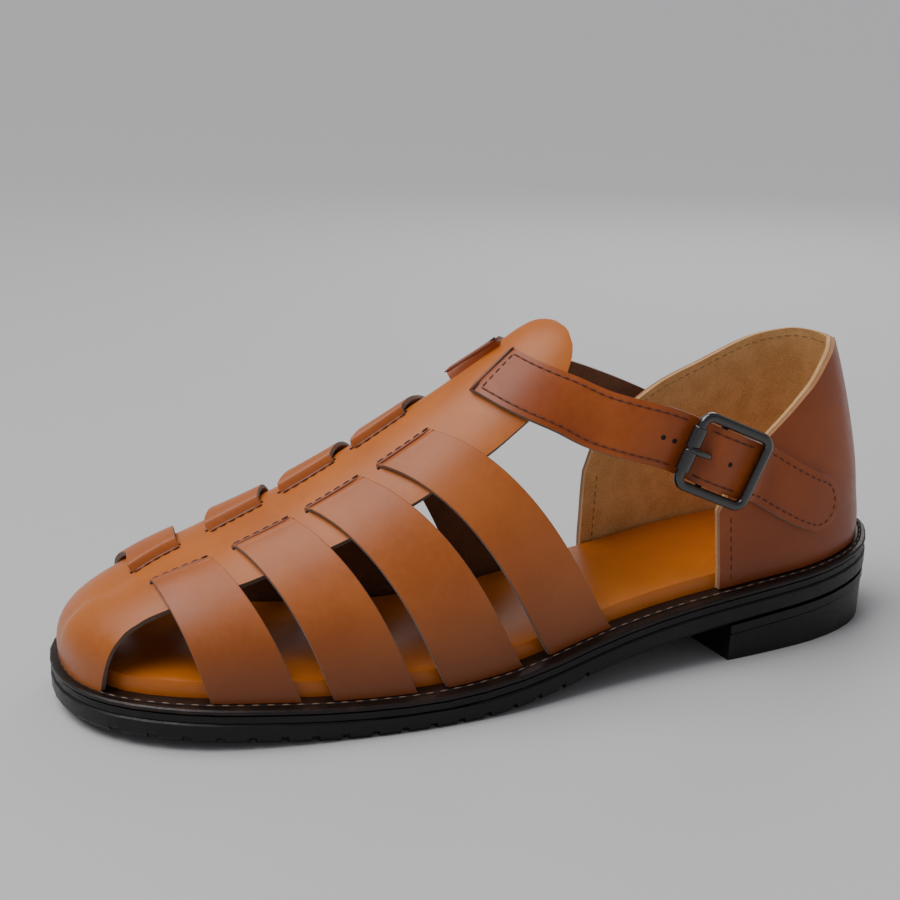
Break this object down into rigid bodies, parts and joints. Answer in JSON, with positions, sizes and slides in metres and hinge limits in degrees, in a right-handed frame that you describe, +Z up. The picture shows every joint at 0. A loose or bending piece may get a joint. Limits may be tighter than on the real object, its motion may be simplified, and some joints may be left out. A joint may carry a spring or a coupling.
{
  "type": "fisherman sandal",
  "caption": "Left leather fisherman sandal with a closed toe, woven cross straps, buckled ankle strap, closed heel counter, welted sole and stacked heel.",
  "frame": {"origin": "on the ground, at the middle of the sole's length and width", "axes": "+X towards the heel, -X towards the toe, -Y the outer side with the buckle, +Y the inner side, +Z up"},
  "size_m": [0.288, 0.104, 0.1111],
  "materials": {
    "tan_leather": "smooth tan leather with a soft sheen and raw edges",
    "insole_leather": "smooth orange-tan leather, lightly glossy",
    "black_rubber": "satin black moulded rubber",
    "black_welt": "satin black edge with a tan stitch",
    "black_metal": "gloss black"
  },
  "bodies": {
    "root": {"outsole": "black_rubber", "heel": "black_rubber", "midsole": "black_welt", "welt": "black_welt", "insole": "insole_leather", "upper": "tan_leather", "counter": "tan_leather", "ankle_strap": "tan_leather", "buckle_tab": "tan_leather", "buckle_frame": "black_metal", "buckle_roller": "black_metal", "buckle_prong": "black_metal"}
  },
  "joints": []
}
